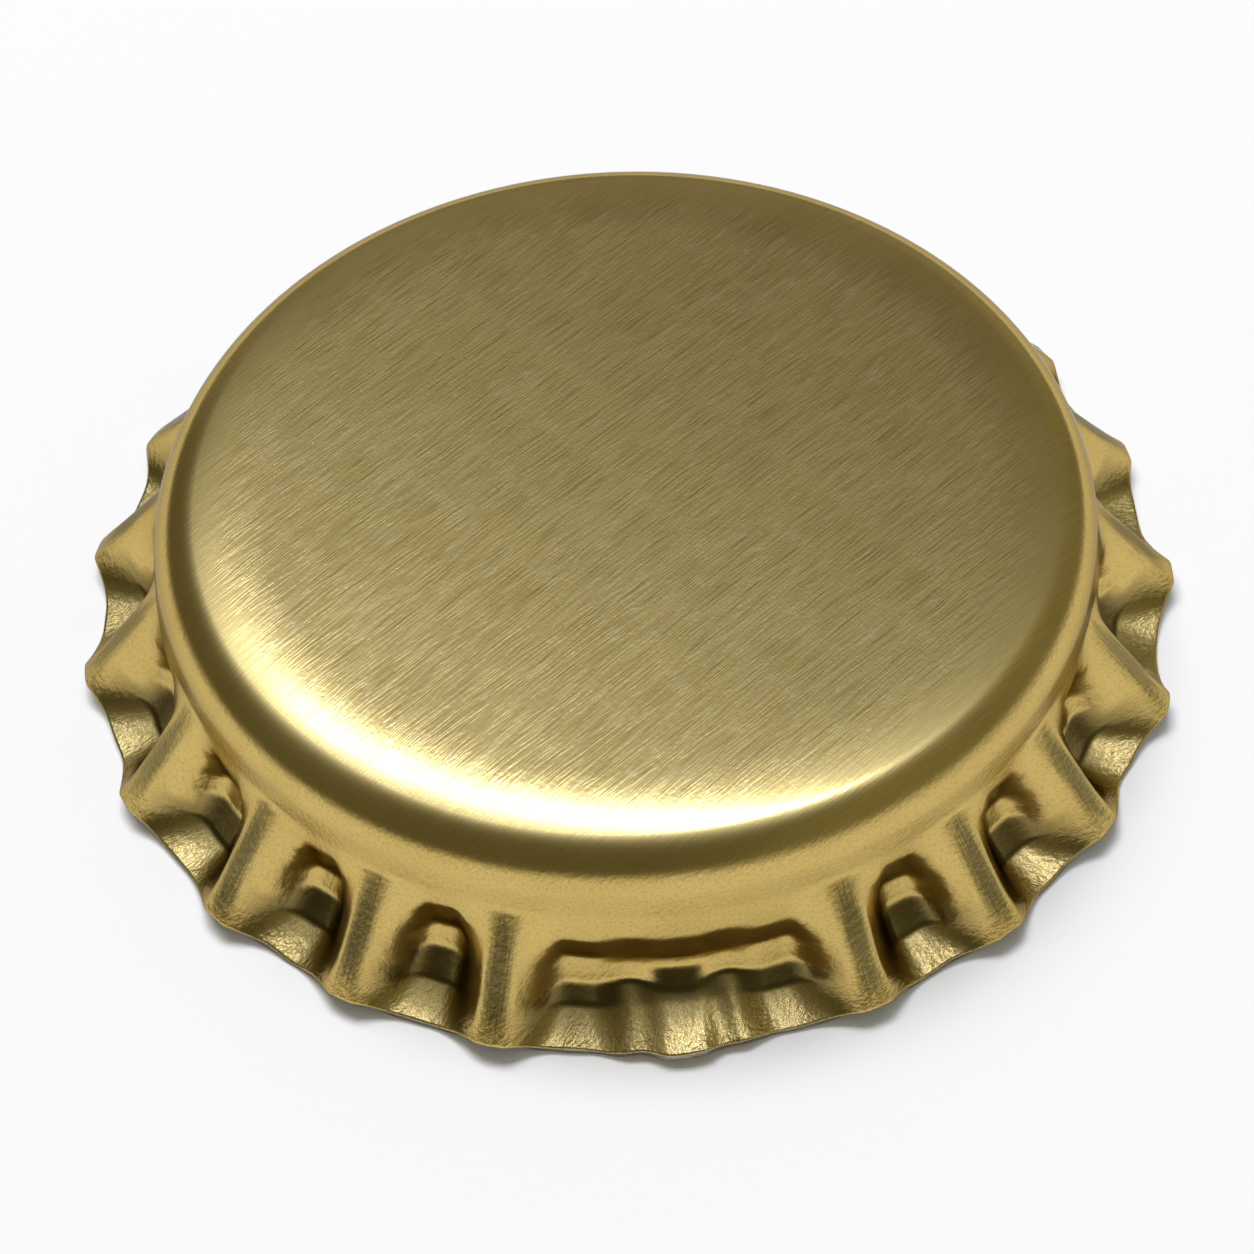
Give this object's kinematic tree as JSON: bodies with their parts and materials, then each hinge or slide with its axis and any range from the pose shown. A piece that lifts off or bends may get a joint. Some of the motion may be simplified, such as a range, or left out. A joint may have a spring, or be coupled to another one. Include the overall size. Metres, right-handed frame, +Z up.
{
  "type": "bottle cap",
  "caption": "Crown cap for a glass bottle: domed round panel, rounded shoulder and a flared fluted skirt in gold-coloured tinplate, with a moulded sealing liner inside.",
  "frame": {"origin": "on the cap's axis, on the surface that the rim's edge rests on", "axes": "+Z up along the cap's axis, out of the panel; -Y towards the wide gap between the ridges, at the front; +X to the right"},
  "size_m": [0.032, 0.0319, 0.006],
  "materials": {
    "gold_tinplate": "brushed and coated in clear gold lacquer",
    "liner_compound": "soft moulded, satin"
  },
  "bodies": {
    "root": {"crown_shell": "gold_tinplate", "liner": "liner_compound"}
  },
  "joints": []
}
